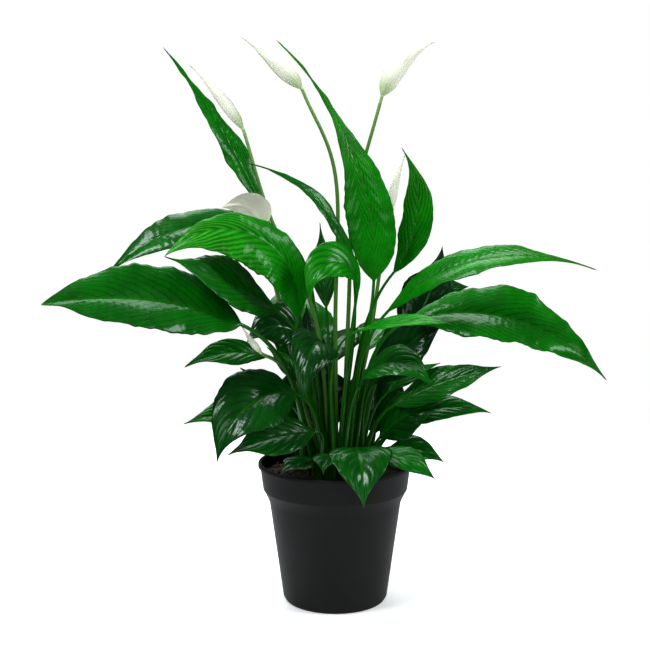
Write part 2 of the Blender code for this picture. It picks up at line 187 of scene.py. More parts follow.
# %% Finish: a material and its nodes
class Finish:
    """One Principled BSDF. Values given at the start are constants on its own sockets."""

    def __init__(self, name, **constants):
        self.material = bpy.data.materials.new(name)
        self.material.use_nodes = True
        self.tree = self.material.node_tree
        self.shader = self.tree.nodes["Principled BSDF"]
        self.set(**constants)

    def plug(self, value, socket):
        if isinstance(value, Value):
            self.tree.links.new(value.socket, socket)
        else:
            socket.default_value = value

    def set(self, **sockets):
        """Sets the shader's sockets, written as Base_Color for Base Color."""
        for name, value in sockets.items():
            self.plug(value, self.shader.inputs[name.replace("_", " ")])

    def node(self, kind, settings, inputs, out=0):
        """Adds a node: its own settings first, then its sockets, and gives one output back."""
        made = self.tree.nodes.new(kind)
        for name, value in settings.items():
            setattr(made, name, value)
        for name, value in inputs.items():
            self.plug(value, made.inputs[name])
        return Value(self, made.outputs[out])

    def attribute(self, name):
        return self.node("ShaderNodeAttribute", {"attribute_name": name}, {}, "Fac")

    def place(self):
        return self.node("ShaderNodeTexCoord", {}, {}, "Object")

    def noise(self, scale, detail=3.0, roughness=0.5):
        """A cloudy pattern: the larger its scale, the finer it is."""
        sockets = {"Vector": self.place(), "Scale": scale, "Detail": detail, "Roughness": roughness}
        return self.node("ShaderNodeTexNoise", {}, sockets)

    def streaks(self, scale, *numbers):
        """A pattern that runs along whichever of up to three numbers varies least."""
        vector = self.node("ShaderNodeCombineXYZ", {}, dict(enumerate(numbers)))
        return self.node("ShaderNodeTexNoise", {}, {"Vector": vector, "Scale": scale})

    def ramp(self, value, low, high):
        """0 up to low and 1 from high on, with a smooth step between."""
        sockets = {"Value": value, "From Min": low, "From Max": high}
        return self.node("ShaderNodeMapRange", {"interpolation_type": "SMOOTHSTEP"}, sockets)

    def mix(self, share, first, second):
        """The first colour where share is 0, the second where it is 1."""
        sockets = {0: share, 6: first, 7: second}
        return self.node("ShaderNodeMix", {"data_type": "RGBA"}, sockets, 2)

    def bump(self, height, distance):
        sockets = {"Height": height, "Distance": distance, "Filter Width": 1.0}
        self.set(Normal=self.node("ShaderNodeBump", {}, sockets))


def rgb(red, green, blue):
    return (red, green, blue, 1.0)


# %% [markdown]
# ## Floor
#
# The floor is a plain pale sheet of paper. It glows faintly, so that its far edge melts into the
# white surroundings and only the soft shadow under the pot shows where it lies. It is part of the
# stage and not of the plant.

# %% Floor
FLOOR_SIZE = 1.3
FLOOR_GLOW = 0.3

paper = Finish(
    "floor_paper", Base_Color=rgb(0.85, 0.85, 0.85), Roughness=0.9, Emission_Color=rgb(1, 1, 1),
    Emission_Strength=FLOOR_GLOW,
)
bm = bmesh.new()
bmesh.ops.create_grid(bm, x_segments=1, y_segments=1, size=FLOOR_SIZE / 2)
sheet = bpy.data.meshes.new("floor")
bm.to_mesh(sheet)
bm.free()
sheet.materials.append(paper.material)
floor = bpy.data.objects.new("floor", sheet)
bpy.context.scene.collection.objects.link(floor)
floor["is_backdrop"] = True
print(f"floor {FLOOR_SIZE} m square")

# %% [markdown]
# ## Shared ways of making a piece
#
# Nearly every piece of a plant is a skin rolled round a middle line: round for a stalk, flat for a
# blade, a spindle for a bud. So one helper lays a grid of faces on a rule. The rule turns two
# shares, how far round and how far along, into a point. The seam is then merged, and the open foot
# is filled, which leaves one closed skin.


# %% A grid laid on a rule
MERGE_DISTANCE = 1e-6


def laid_grid(bm, along, around, rule):
    """Sends every point of a grid to rule(round_share, along_share, point)."""
    made = bmesh.ops.create_grid(bm, x_segments=around, y_segments=along, size=0.5)
    for point in made["verts"]:
        point.co = rule(point.co.x + 0.5, point.co.y + 0.5, point)
    return made["verts"]


def close_skin(bm):
    """Merges a rolled grid's seam and its pointed ends, and fills a foot that is still open."""
    bmesh.ops.remove_doubles(bm, verts=bm.verts, dist=MERGE_DISTANCE)
    open_edges = [edge for edge in bm.edges if edge.is_boundary]
    if open_edges:
        bmesh.ops.holes_fill(bm, edges=open_edges)
    bmesh.ops.recalc_face_normals(bm, faces=bm.faces)


# %% From a bmesh to a piece that stands for its plain solid
def add_piece(name, bm, finish, slot, *nodes):
    """A finished piece: it rides on the one body and hides the nodes that it stands for."""
    mesh = bpy.data.meshes.new(name)
    bm.to_mesh(mesh)
    bm.free()
    mesh.materials.append(finish.material)
    mesh.shade_smooth()
    piece = bpy.data.objects.new(name, mesh)
    bpy.context.scene.collection.objects.link(piece)
    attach(piece, "root")
    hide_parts(*nodes)
    return piece


def stray(piece, node):
    """How far, in millimetres, the piece's box is from its plain solid's, at the worst side."""
    low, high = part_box(node)
    places = [vertex.co for vertex in piece.data.vertices]
    worst = 0.0
    for axis in range(3):
        values = [place[axis] for place in places]
        worst = max(worst, abs(min(values) - low[axis]), abs(max(values) - high[axis]))
    return 1000 * worst


# %% [markdown]
# ## Pot
#
# The pot is moulded in one piece from thin charcoal plastic: a narrow rolled rim, a taller collar
# under it that gives the fingers a hold, a shoulder, and a wall that narrows to the base so that
# pots stack. It could be built from cones and rings, but it is a turned shape, so one outline spun
# round the axis gives every edge its true round. Those rounds are arcs. The base stands on short
# feet, and its floor has drain holes, cut with a Boolean.

# %% Pot: sizes
POT_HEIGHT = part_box("pot")[1].z
RIM_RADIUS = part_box("pot")[1].x
RIM_DEPTH = 0.0035
RIM_WIDTH = 0.0026
RIM_ROUND = 0.0011
UNDER_RIM_ROUND = 0.0006
COLLAR_TOP_RADIUS = 0.0583
COLLAR_FOOT_RADIUS = 0.0563
COLLAR_FOOT_Z = 0.090
SHOULDER_ROUND = 0.0024
SHOULDER_EASE = 0.0012
WALL_TOP_RADIUS = 0.0512
WALL_TOP_Z = 0.080
WALL_FOOT_RADIUS = 0.0408
WALL_FOOT_Z = 0.0035
BASE_RADIUS = 0.0375
HEEL_ROUND = 0.0022
WALL = 0.0012
FLOOR_TOP_Z = 0.0032
RECESS_DEPTH = 0.0016
RECESS_SLOPE = 0.0008
FOOT_RING_INNER = 0.032
CENTRE_PAD_RADIUS = 0.012
DRAIN_HOLES = 8
DRAIN_HOLE_RADIUS = 0.004
DRAIN_CIRCLE_RADIUS = 0.022
FEET = 6
FOOT_NOTCH = 0.0011
TURN_STEPS = 144
SHARP_FROM = 40
print(f"pot {2000 * RIM_RADIUS:.0f} mm across, {1000 * POT_HEIGHT:.0f} mm high")


# %% Pot: outline and spin
def arc(middle, radius, first, last, steps=5):
    """Points (radius from the axis, height) on an arc, with its angles in degrees."""
    found = []
    for step in range(steps + 1):
        angle = math.radians(first + (last - first) * step / steps)
        found.append((middle[0] + radius * math.cos(angle), middle[1] + radius * math.sin(angle)))
    return found


def pot_outline():
    """From the middle of the floor up the inside, over the rim, and down the outside."""
    under_z = POT_HEIGHT - RIM_DEPTH
    lip = arc((RIM_RADIUS - RIM_ROUND, POT_HEIGHT - RIM_ROUND), RIM_ROUND, 90, 0)
    corner = (COLLAR_TOP_RADIUS + UNDER_RIM_ROUND, under_z - UNDER_RIM_ROUND)
    under_rim = arc(corner, UNDER_RIM_ROUND, 90, 180)
    shoulder = arc((COLLAR_FOOT_RADIUS - SHOULDER_ROUND, COLLAR_FOOT_Z), SHOULDER_ROUND, 0, -55)
    heel = arc((BASE_RADIUS, HEEL_ROUND), HEEL_ROUND, -10, -90)
    return [
        (0, FLOOR_TOP_Z),
        (WALL_FOOT_RADIUS - WALL - 0.0015, FLOOR_TOP_Z),
        (WALL_FOOT_RADIUS - WALL, WALL_FOOT_Z + 0.0012),
        (WALL_TOP_RADIUS - WALL, WALL_TOP_Z),
        (COLLAR_FOOT_RADIUS - WALL, COLLAR_FOOT_Z + 0.001),
        (COLLAR_TOP_RADIUS - WALL, under_z),
        (RIM_RADIUS - RIM_WIDTH, POT_HEIGHT - 0.0004),
        (RIM_RADIUS - RIM_WIDTH + 0.0005, POT_HEIGHT),
        *lip,
        (RIM_RADIUS, under_z + 0.0004),
        (RIM_RADIUS - 0.0004, under_z),
        *under_rim,
        *shoulder,
        (WALL_TOP_RADIUS + 0.0009, WALL_TOP_Z + SHOULDER_EASE),
        (WALL_TOP_RADIUS, WALL_TOP_Z - SHOULDER_EASE),
        (WALL_FOOT_RADIUS, WALL_FOOT_Z),
        *heel,
        (FOOT_RING_INNER, 0),
        (FOOT_RING_INNER - RECESS_SLOPE, RECESS_DEPTH),
        (CENTRE_PAD_RADIUS + RECESS_SLOPE, RECESS_DEPTH),
        (CENTRE_PAD_RADIUS, 0),
        (0, 0),
    ]


def spun(outline):
    """The outline turned a full circle about Z and closed."""
    bm = bmesh.new()
    points = [bm.verts.new((radius, 0, height)) for radius, height in outline]
    edges = [bm.edges.new(pair) for pair in zip(points, points[1:])]
    bmesh.ops.spin(
        bm, geom=points + edges, axis=(0, 0, 1), cent=(0, 0, 0), angle=2 * math.pi,
        steps=TURN_STEPS, use_merge=True,
    )
    bmesh.ops.remove_doubles(bm, verts=bm.verts, dist=MERGE_DISTANCE)
    bmesh.ops.recalc_face_normals(bm, faces=bm.faces)
    return bm


def cut_feet(bm):
    """Between its short feet, the foot ring stands clear of the table."""
    near = 0.0001
    steepness = 2.5
    for point in bm.verts:
        radius = math.hypot(point.co.x, point.co.y)
        if point.co.z < near and radius > FOOT_RING_INNER - near:
            swing = math.cos(FEET * math.atan2(point.co.y, point.co.x))
            point.co.z += FOOT_NOTCH * min(1, max(0, steepness * swing + 0.5))


# %% Pot: drain holes
DRILL_LENGTH = 0.02


def loose(name, bm):
    """A helper object, which is removed again once it has done its work."""
    mesh = bpy.data.meshes.new(name)
    bm.to_mesh(mesh)
    bm.free()
    made = bpy.data.objects.new(name, mesh)
    bpy.context.scene.collection.objects.link(made)
    return made


def bored(bm, places, radius):
    """The shape with a round hole cut along Z at each place."""
    blank = loose("blank", bm)
    drills = []
    for place in places:
        tool = bmesh.new()
        bmesh.ops.create_cone(
            tool, cap_ends=True, segments=32, radius1=radius, radius2=radius, depth=DRILL_LENGTH,
            matrix=Matrix.Translation(place),
        )
        drills.append(loose("drill", tool))
        cut = blank.modifiers.new("hole", "BOOLEAN")
        cut.operation = "DIFFERENCE"
        cut.object = drills[-1]
    bpy.context.view_layer.update()
    graph = bpy.context.evaluated_depsgraph_get()
    done = bmesh.new()
    done.from_mesh(blank.evaluated_get(graph).to_mesh())
    for used in (*drills, blank):
        bpy.data.objects.remove(used)
    return done


# %% [markdown]
# Moulded charcoal plastic is nearly black, with a fine grain that breaks up its sheen and faint dust
# in broad patches. A paler band along the top of the rim, broken up by the dust, is a painted
# highlight. It could be drawn onto an image, but here it follows the height, so it stays at the rim
# whatever the size.

# %% Pot: plastic
RIM_HIGHLIGHT_DEPTH = 0.0016
plastic = Finish("charcoal_plastic", IOR=1.46, Specular_IOR_Level=0.25)
grain = plastic.noise(2600.0, 2.0)
dust = plastic.noise(28.0, 5.0, 0.62)
height = plastic.node("ShaderNodeSeparateXYZ", {}, {0: plastic.place()}, 2)
# Painted highlight: a paler band along the top of the rim, broken up by the dust.
painted_rim_highlight = plastic.ramp(height, POT_HEIGHT - RIM_HIGHLIGHT_DEPTH, POT_HEIGHT) * plastic.ramp(dust, 0.35, 0.7)
plastic.set(
    Base_Color=plastic.mix(
        painted_rim_highlight * 0.7 + plastic.ramp(dust, 0.45, 0.8) * 0.22,
        rgb(0.0070, 0.0070, 0.0071),
        rgb(0.022, 0.022, 0.0217),
    ),
    Roughness=0.46 + 0.16 * dust,
)
plastic.bump(grain * 0.6 + dust * 0.4, 0.00012)
print(f"plastic: {len(plastic.tree.nodes)} nodes")

# %% Pot: the piece
bm = spun(pot_outline())
cut_feet(bm)
drains = []
for hole in range(DRAIN_HOLES):
    angle = 2 * math.pi * (hole + 0.5) / DRAIN_HOLES
    drains.append(Vector((math.cos(angle), math.sin(angle), 0)) * DRAIN_CIRCLE_RADIUS)
pot = add_piece("nursery_pot", bored(bm, drains, DRAIN_HOLE_RADIUS), plastic, "pot", "pot")
pot.data.set_sharp_from_angle(angle=math.radians(SHARP_FROM))
print(f"pot: {len(pot.data.polygons)} faces, box off by {stray(pot, 'pot'):.1f} mm")

# %% [markdown]
# ## Potting mix
#
# The mix is moist peat with crumbs of bark. It fills the pot to about 10 mm under the rim, is
# heaped a little round the crown, and hides the feet of the stalks. Its skin runs from the middle
# of the top out to the wall, down the wall, and in across the pot's floor. A flat disc with a bumpy
# finish would show a straight edge against the wall, so the lumps are in the mesh. Loose crumbs,
# each a pushed-about ball of few faces, are scattered over it.

# %% Potting mix: skin
SOIL_TOP_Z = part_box("potting_mix")[1].z
SOIL_FLOOR_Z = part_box("potting_mix")[0].z
CLEAR = WALL + 0.0003
SOIL_TOP_RADIUS = COLLAR_FOOT_RADIUS - CLEAR + 0.0010
TOP_SHARE = 0.72
LUMP_HEIGHT = 0.0016
LUMPS_PER_METRE = 140
HEAP = 0.0012
SOIL_WALL = [
    # share of the way down, radius, height
    (0.0, SOIL_TOP_RADIUS, SOIL_TOP_Z - 0.0015),
    (0.2, COLLAR_FOOT_RADIUS - CLEAR, COLLAR_FOOT_Z + 0.001),
    (0.3, WALL_TOP_RADIUS - CLEAR, WALL_TOP_Z),
    (0.7, WALL_FOOT_RADIUS - CLEAR, WALL_FOOT_Z + 0.0015),
    (1.0, 0.0, SOIL_FLOOR_Z),
]


def soil_height(x, y):
    """The lumpy top, which sinks a little towards the wall."""
    edge = math.hypot(x, y) / COLLAR_TOP_RADIUS
    lumps = LUMP_HEIGHT * noise.fractal(Vector((x, y, 0)) * LUMPS_PER_METRE, 0.8, 2.1, 5)
    return SOIL_TOP_Z + HEAP * (1 - edge * edge) + lumps


def soil_rule(a, b, _):
    """The top from its middle to the wall, then the wall and the floor, inwards."""
    angle = 2 * math.pi * a
    out = Vector((math.cos(angle), math.sin(angle), 0))
    if b <= TOP_SHARE:
        place = out * (SOIL_TOP_RADIUS * b / TOP_SHARE)
        place.z = soil_height(place.x, place.y)
        return place
    down = (b - TOP_SHARE) / (1 - TOP_SHARE)
    for (first, r0, z0), (last, r1, z1) in zip(SOIL_WALL, SOIL_WALL[1:]):
        if down <= last:
            share = (down - first) / (last - first)
            return out * (r0 + (r1 - r0) * share) + Vector((0, 0, z0 + (z1 - z0) * share))


# %% Potting mix: finish
peat = Finish("moist_peat", IOR=1.4)
clods = peat.noise(420.0, 4.0, 0.65)
patches = peat.noise(60.0, 3.0)
dry = peat.ramp(clods + patches * 0.4, 0.4, 0.95)
peat.set(
    Base_Color=peat.mix(dry, rgb(0.008, 0.005, 0.004), rgb(0.075, 0.042, 0.022)),
    Roughness=0.75 + 0.2 * clods,
)
peat.bump(clods, 0.0006)
print(f"peat: {len(peat.tree.nodes)} nodes")

# %% Potting mix: crumbs
CRUMBS = 420
CRUMB_SEED = 7
CRUMB_SPREAD = 0.053
SMALLEST_CRUMB = 0.0007
LARGEST_CRUMB = 0.0021
PUSH = 0.2
rng = random.Random(CRUMB_SEED)


def add_crumb(bm):
    """A bark crumb: a ball of few faces, squashed, turned and pushed about."""
    distance = CRUMB_SPREAD * math.sqrt(rng.random())
    angle = 2 * math.pi * rng.random()
    x, y = distance * math.cos(angle), distance * math.sin(angle)
    size = rng.uniform(SMALLEST_CRUMB, LARGEST_CRUMB)
    turn = Euler([rng.uniform(0, 2 * math.pi) for _ in range(3)]).to_matrix().to_4x4()
    squash = Matrix.Diagonal((1.0, rng.uniform(0.5, 0.9), rng.uniform(0.4, 0.8), 1.0))
    place = Matrix.Translation((x, y, soil_height(x, y) + 0.2 * size)) @ turn @ squash
    made = bmesh.ops.create_icosphere(bm, subdivisions=1, radius=size, matrix=place)
    for point in made["verts"]:
        point.co += PUSH * size * noise.noise_vector(point.co * 900)


# %% Potting mix: the piece
SOIL_ROWS = 120
SOIL_AROUND = 180
bm = bmesh.new()
laid_grid(bm, SOIL_ROWS, SOIL_AROUND, soil_rule)
close_skin(bm)
for _ in range(CRUMBS):
    add_crumb(bm)
mix = add_piece("potting_mix_top", bm, peat, "soil", "potting_mix")
print(f"mix: {len(mix.data.polygons)} faces, {CRUMBS} crumbs, off by {stray(mix, 'potting_mix'):.1f} mm")

# %% [markdown]
# ## Leaves: where they are
#
# Every leaf keeps the place and the bend of its plain solid, so the table here repeats the one
# that the solids are made from. The last line of each entry is for looks only. The tone is 0 for an
# old leaf, deep green, and 1 for a young one, bright green, and it is also painted light: it is set
# higher for leaves that light shines through and lower for leaves that lie in shade. `wave` is how
# far the blade's edge waves up and down. `broad` and `halves` let a blade grow broader or narrower
# than its plain solid, as a whole or on one side. `drip`, `drip_from` and `twist` draw its tip out
# and turn it. Bearings go round the pot in degrees, with 0 to the right and 90 to the back. Leaves
# could be scattered by chance, but a real clump has its own habit, so each leaf has its own entry.


# %% Leaves: the table
class Leaf(NamedTuple):
    """Angles are in degrees, lengths in metres."""

    foot: tuple  # bearing and distance from the middle, where it leaves the mix
    start: tuple  # bearing, distance and height where the blade starts
    heading: float  # bearing that the blade goes along
    pitch: tuple  # the midrib's climb at its start and at its tip
    length: float
    width: float
    roll: float = 0.0  # turn of the blade about its midrib
    turn: float = 0.0  # change of heading from the start to the tip
    widest: float = 0.42  # where it is widest, as a fraction of its length
    taper: float = 1.15  # above 1, the tip is drawn out
    # The tone is also painted light: higher for leaves that light shines through, lower for leaves in
    # shade.
    tone: float = 0.4  # 0 is old and deep green, 1 young and bright
    wave: float = 0.0012  # how far its edges wave up and down
    broad: float = 1.0  # how much broader the blade has grown than its plain solid
    halves: tuple = (1.0, 1.0)  # the same for each half, right and left of the midrib
    drip: float = 0.45  # how much of the width the drawn-out tip loses
    drip_from: float = 0.58  # where the drawn-out tip begins, as a fraction of the length
    twist: float = 20.0  # turn of the drawn-out tip about the midrib


LEAVES = {
    # Upper leaves
    "leaf_tall_left": Leaf(
        (140, 0.012), (145, 0.070, 0.305), 170, (65, 50), 0.150, 0.022, -40, widest=0.35,
        tone=0.75, wave=0.002, drip=0.55, drip_from=0.45,
    ),
    "leaf_centre_tall": Leaf(
        (350, 0.005), (10, 0.030, 0.250), 180, (92, 42), 0.205, 0.038, -80,
        turn=-15, widest=0.22, taper=2.2,
        tone=0.95, wave=0.0016, drip=0.7, drip_from=0.3, twist=50,
    ),
    "leaf_upright_right": Leaf(
        (40, 0.012), (25, 0.050, 0.255), 0, (50, 125), 0.105, 0.026, 65,
        tone=0.85, wave=0.0008, drip=0.6,
    ),
    "leaf_thin_arch": Leaf(
        (290, 0.006), (315, 0.020, 0.250), 190, (85, 10), 0.130, 0.014, -50,
        tone=0.55, wave=0.0014, drip=0.5, drip_from=0.5,
    ),
    "leaf_broad_upper_left": Leaf(
        (250, 0.012), (230, 0.045, 0.225), 200, (100, -50), 0.150, 0.054, -60, taper=1.0,
        tone=1, wave=0.003, halves=(0.55, 1.1), drip=0.1, drip_from=0.7,
    ),
    "leaf_far_upper_left": Leaf(
        (168, 0.0125), (165, 0.055, 0.290), 195, (15, -50), 0.140, 0.036, -35,
        tone=0.4, wave=0.0014, drip=0.3,
    ),
    "leaf_middle_upper_left": Leaf(
        (228, 0.013), (210, 0.050, 0.230), 220, (30, 20), 0.110, 0.036, -50,
        tone=0.5, wave=0.0016, broad=1.3,
    ),
    "leaf_upper_right_arch": Leaf(
        (318, 0.012), (330, 0.045, 0.230), 335, (45, -20), 0.170, 0.034, 40, widest=0.35, taper=1.3,
        tone=0.9, wave=0.0012, halves=(0.95, 0.85), drip=0.7, drip_from=0.55,
    ),
    "leaf_right_long": Leaf(
        (345, 0.013), (350, 0.055, 0.220), 345, (20, -50), 0.165, 0.052, 40,
        tone=0.7, wave=0.0024, drip=0.6, drip_from=0.68, twist=35,
    ),
    "leaf_right_back_round": Leaf(
        (38, 0.019), (20, 0.055, 0.205), 15, (45, 85), 0.080, 0.044, 70,
        tone=0.05, wave=0.001,
    ),
    "leaf_right_back_pale": Leaf(
        (60, 0.019), (35, 0.075, 0.225), 0, (40, 0), 0.050, 0.034, 45,
        tone=0.35, wave=0.001,
    ),
    "leaf_back_tip": Leaf(
        (100, 0.012), (100, 0.040, 0.225), 110, (75, 80), 0.070, 0.020,
        tone=0.3, wave=0.0008, drip=0.6,
    ),
    "leaf_front_arch": Leaf(
        (282, 0.012), (290, 0.045, 0.245), 210, (100, -115), 0.075, 0.032, -50,
        tone=0.8, wave=0.0012,
    ),
    # Middle leaves
    "leaf_left_long": Leaf(
        (218, 0.019), (220, 0.090, 0.225), 200, (25, -10), 0.145, 0.054, -50, taper=0.85,
        tone=0.45, wave=0.0022, broad=1.05, drip=0.2, drip_from=0.8,
    ),
    "leaf_left_small": Leaf(
        (192, 0.0215), (200, 0.055, 0.195), 210, (20, -25), 0.070, 0.024, -45,
        tone=0.55, wave=0.001, drip=0.3,
    ),
    "leaf_left_short": Leaf(
        (172, 0.019), (180, 0.035, 0.155), 195, (40, 35), 0.050, 0.024, -45,
        tone=0.3, wave=0.001,
    ),
    "leaf_left_inner": Leaf(
        (205, 0.017), (190, 0.030, 0.175), 180, (60, 35), 0.035, 0.012, -45,
        tone=0.6, wave=0.0006, broad=1.3,
    ),
    "leaf_left_dark": Leaf(
        (158, 0.0092), (190, 0.025, 0.205), 205, (55, -55), 0.055, 0.026, -60,
        tone=0.1, wave=0.001, broad=1.4,
    ),
    "leaf_left_drooping": Leaf(
        (246, 0.020), (235, 0.050, 0.170), 220, (20, -80), 0.095, 0.052, -40,
        tone=0.15, wave=0.0018,
    ),
    "leaf_centre_drooping": Leaf(
        (230, 0.005), (245, 0.015, 0.195), 255, (50, -95), 0.095, 0.032, -35,
        tone=0.1, wave=0.0012, broad=1.15,
    ),
    "leaf_centre_front": Leaf(
        (266, 0.019), (285, 0.060, 0.220), 330, (20, -5), 0.075, 0.022, 20,
        tone=1, wave=0.0008,
    ),
    "leaf_right_arch_low": Leaf(
        (290, 0.019), (295, 0.040, 0.175), 320, (60, -50), 0.080, 0.034, 35,
        tone=0.45, wave=0.001,
    ),
    "leaf_right_inner": Leaf(
        (0, 0.019), (10, 0.030, 0.170), 345, (55, 30), 0.080, 0.040, 55,
        tone=0.05, wave=0.0012, broad=1.15,
    ),
    "leaf_right_middle": Leaf(
        (338, 0.020), (350, 0.045, 0.155), 345, (30, 15), 0.090, 0.032, 45,
        tone=0.55, wave=0.0014,
    ),
    "leaf_right_small": Leaf(
        (18, 0.019), (25, 0.045, 0.160), 10, (40, 15), 0.050, 0.016, 30,
        tone=0.8, wave=0.0006,
    ),
    # Low leaves, out over the rim
    "leaf_rim_far_left": Leaf(
        (192, 0.026), (190, 0.050, 0.145), 210, (20, -15), 0.075, 0.028, -40,
        tone=0.6, wave=0.0012,
    ),
    "leaf_rim_left": Leaf(
        (240, 0.027), (245, 0.035, 0.140), 210, (5, -20), 0.075, 0.034, -40,
        tone=0.3, wave=0.0014,
    ),
    "leaf_rim_front_left": Leaf(
        (251, 0.0265), (250, 0.040, 0.120), 225, (5, -20), 0.040, 0.020, -10,
        tone=0.2, wave=0.0008, broad=1.3,
    ),
    "leaf_rim_front": Leaf(
        (262, 0.027), (265, 0.040, 0.125), 260, (5, -30), 0.035, 0.018,
        tone=0.3, wave=0.0008, broad=1.2,
    ),
    "leaf_front_drop": Leaf(
        (290, 0.027), (290, 0.045, 0.130), 275, (10, -80), 0.065, 0.042, widest=0.35, taper=1.3,
        tone=0.25, wave=0.0006, broad=1.1, drip=0.3,
    ),
    "leaf_rim_right": Leaf(
        (308, 0.027), (305, 0.050, 0.125), 325, (10, -35), 0.055, 0.024, 20,
        tone=0.5, wave=0.001, broad=1.15,
    ),
    "leaf_rim_far_right": Leaf(
        (336, 0.027), (335, 0.045, 0.125), 345, (10, -35), 0.045, 0.024, 30,
        tone=0.35, wave=0.001,
    ),
    "leaf_right_low": Leaf(
        (355, 0.027), (350, 0.035, 0.130), 340, (50, 10), 0.060, 0.042, 50,
        tone=0.3, wave=0.0012,
    ),
    "leaf_right_low_pale": Leaf(
        (20, 0.027), (20, 0.055, 0.135), 355, (35, -20), 0.075, 0.026, 40,
        tone=0.5, wave=0.0012,
    ),
    # Leaves at the back
    "leaf_back_left": Leaf(
        (124, 0.020), (120, 0.045, 0.160), 105, (85, 5), 0.120, 0.046, 10,
        tone=0.5, wave=0.0014, broad=1.25,
    ),
    "leaf_back_middle": Leaf(
        (102, 0.020), (90, 0.050, 0.180), 90, (40, -55), 0.115, 0.046,
        tone=0.15, wave=0.0016, broad=1.3,
    ),
    "leaf_back_right": Leaf(
        (82, 0.020), (60, 0.050, 0.190), 55, (40, -50), 0.105, 0.042,
        tone=0.45, wave=0.0014, broad=1.3,
    ),
    "leaf_back_low_left": Leaf(
        (150, 0.027), (130, 0.045, 0.125), 100, (85, 60), 0.060, 0.040,
        tone=0.1, wave=0.0012, broad=1.15,
    ),
    "leaf_back_low_middle": Leaf(
        (105, 0.028), (100, 0.045, 0.125), 90, (85, 65), 0.060, 0.048,
        tone=0.0, wave=0.001, broad=1.1,
    ),
    "leaf_back_low_right": Leaf(
        (45, 0.028), (45, 0.045, 0.125), 75, (85, 65), 0.065, 0.048,
        tone=0.1, wave=0.0012, broad=1.1,
    ),
    "leaf_back_upright_left": Leaf(
        (135, 0.020), (130, 0.034, 0.150), 95, (88, 80), 0.080, 0.030,
        tone=0.0, wave=0.001, broad=1.15,
    ),
}
longest = max(leaf.length for leaf in LEAVES.values())
print(f"{len(LEAVES)} leaves, the longest blade {1000 * longest:.0f} mm")

# %% [markdown]
# ## Leaves: shape
#
# A blade bends over under its own weight. It could be a flat shape bent by a curve, but here its
# middle line is walked in equal steps while its pitch and heading turn evenly, which is how the
# plain solids bend too, so both lie in one place. The leafstalk is a Bezier curve that leaves the
# mix nearly upright and runs straight into the blade.

# %% Leaves: the middle line
MIDRIB_STEPS = 48
STALK_FOOT_SWELL = 1.5
THINNEST_STALK = 0.0007
STALK_PER_WIDTH = 0.011
STALK_LEAN = 0.5
FOOT_HANDLE = 0.40
START_HANDLE = 0.30
ROOT_DEPTH = 0.004


def direction(bearing, pitch=0.0):
    """The unit vector that goes along a bearing and climbs at a pitch."""
    level = math.cos(math.radians(pitch))
    x = level * math.cos(math.radians(bearing))
    y = level * math.sin(math.radians(bearing))
    return Vector((x, y, math.sin(math.radians(pitch))))


def round_place(bearing, distance, height):
    """The point at this bearing and distance from the pot's axis."""
    return direction(bearing) * distance + Vector((0, 0, height))


def blade_line(leaf):
    """The midrib's points, a step apart, from the start of the blade to its tip."""
    place = round_place(*leaf.start)
    found = [place.copy()]
    for step in range(MIDRIB_STEPS):
        heading, pitch = blade_aim(leaf, step / MIDRIB_STEPS)
        place += direction(heading, pitch) * (leaf.length / MIDRIB_STEPS)
        found.append(place.copy())
    return found


def blade_aim(leaf, s):
    """The midrib's heading and climb at a share of its length."""
    heading = leaf.heading + leaf.turn * s
    return heading, leaf.pitch[0] + (leaf.pitch[1] - leaf.pitch[0]) * s


def blade_place(leaf, line, s):
    """A point between the steps, on a curve that keeps the midrib's direction."""
    step = min(int(s * MIDRIB_STEPS), MIDRIB_STEPS - 1)
    t = s * MIDRIB_STEPS - step
    reach = leaf.length / MIDRIB_STEPS
    leaving = direction(*blade_aim(leaf, step / MIDRIB_STEPS)) * reach
    arriving = direction(*blade_aim(leaf, (step + 1) / MIDRIB_STEPS)) * reach
    first, last = line[step], line[step + 1]
    return (
        first * (2 * t**3 - 3 * t**2 + 1)
        + leaving * (t**3 - 2 * t**2 + t)
        + last * (3 * t**2 - 2 * t**3)
        + arriving * (t**3 - t**2)
    )


def bezier(start, first_handle, second_handle, end, t):
    s = 1 - t
    inner = first_handle * (3 * s * s * t) + second_handle * (3 * s * t * t)
    return start * s**3 + inner + end * t**3


def leafstalk_place(leaf, t):
    """A point of the leafstalk, which leaves the mix nearly upright and runs into the blade."""
    foot = round_place(*leaf.foot, SOIL_TOP_Z)
    start = round_place(*leaf.start)
    span = (start - foot).length
    outward = Vector((start.x - foot.x, start.y - foot.y, 0)) / span
    rise = (Vector((0, 0, 1)) + STALK_LEAN * outward).normalized()
    first_handle = foot + rise * (FOOT_HANDLE * span)
    second_handle = start - direction(leaf.heading, leaf.pitch[0]) * (START_HANDLE * span)
    return bezier(foot, first_handle, second_handle, start, t)


def stalk_taper(t):
    """Any stalk is thickest where it leaves the mix."""
    return STALK_FOOT_SWELL + (1 - STALK_FOOT_SWELL) * t


def stalk_radius(leaf, t):
    """A broad blade stands on a thick stalk."""
    return (THINNEST_STALK + STALK_PER_WIDTH * leaf.width) * stalk_taper(t)


def outline(leaf, s):
    """The blade's half width at a share of its length."""
    bulge = s ** (math.log(0.5) / math.log(leaf.widest))
    return 0.5 * leaf.width * max(0.0, math.sin(math.pi * bulge)) ** leaf.taper


def across_blade(heading, along, roll):
    """The way from the midrib to the blade's left edge."""
    level = direction(heading + 90)
    up = along.cross(level)
    turn = math.radians(roll)
    return level * math.cos(turn) + up * math.sin(turn)


# %% [markdown]
# Side veins leave the midrib and curve towards the tip. Between them the blade puffs up, which is
# what catches the light. A bump in the finish would be lost on the bare mesh and at the outline, so
# the puffs are made in the mesh, from the same vein number that the finish reads later. The edges
# wave and swell, each side on its own, and the tip is drawn out.

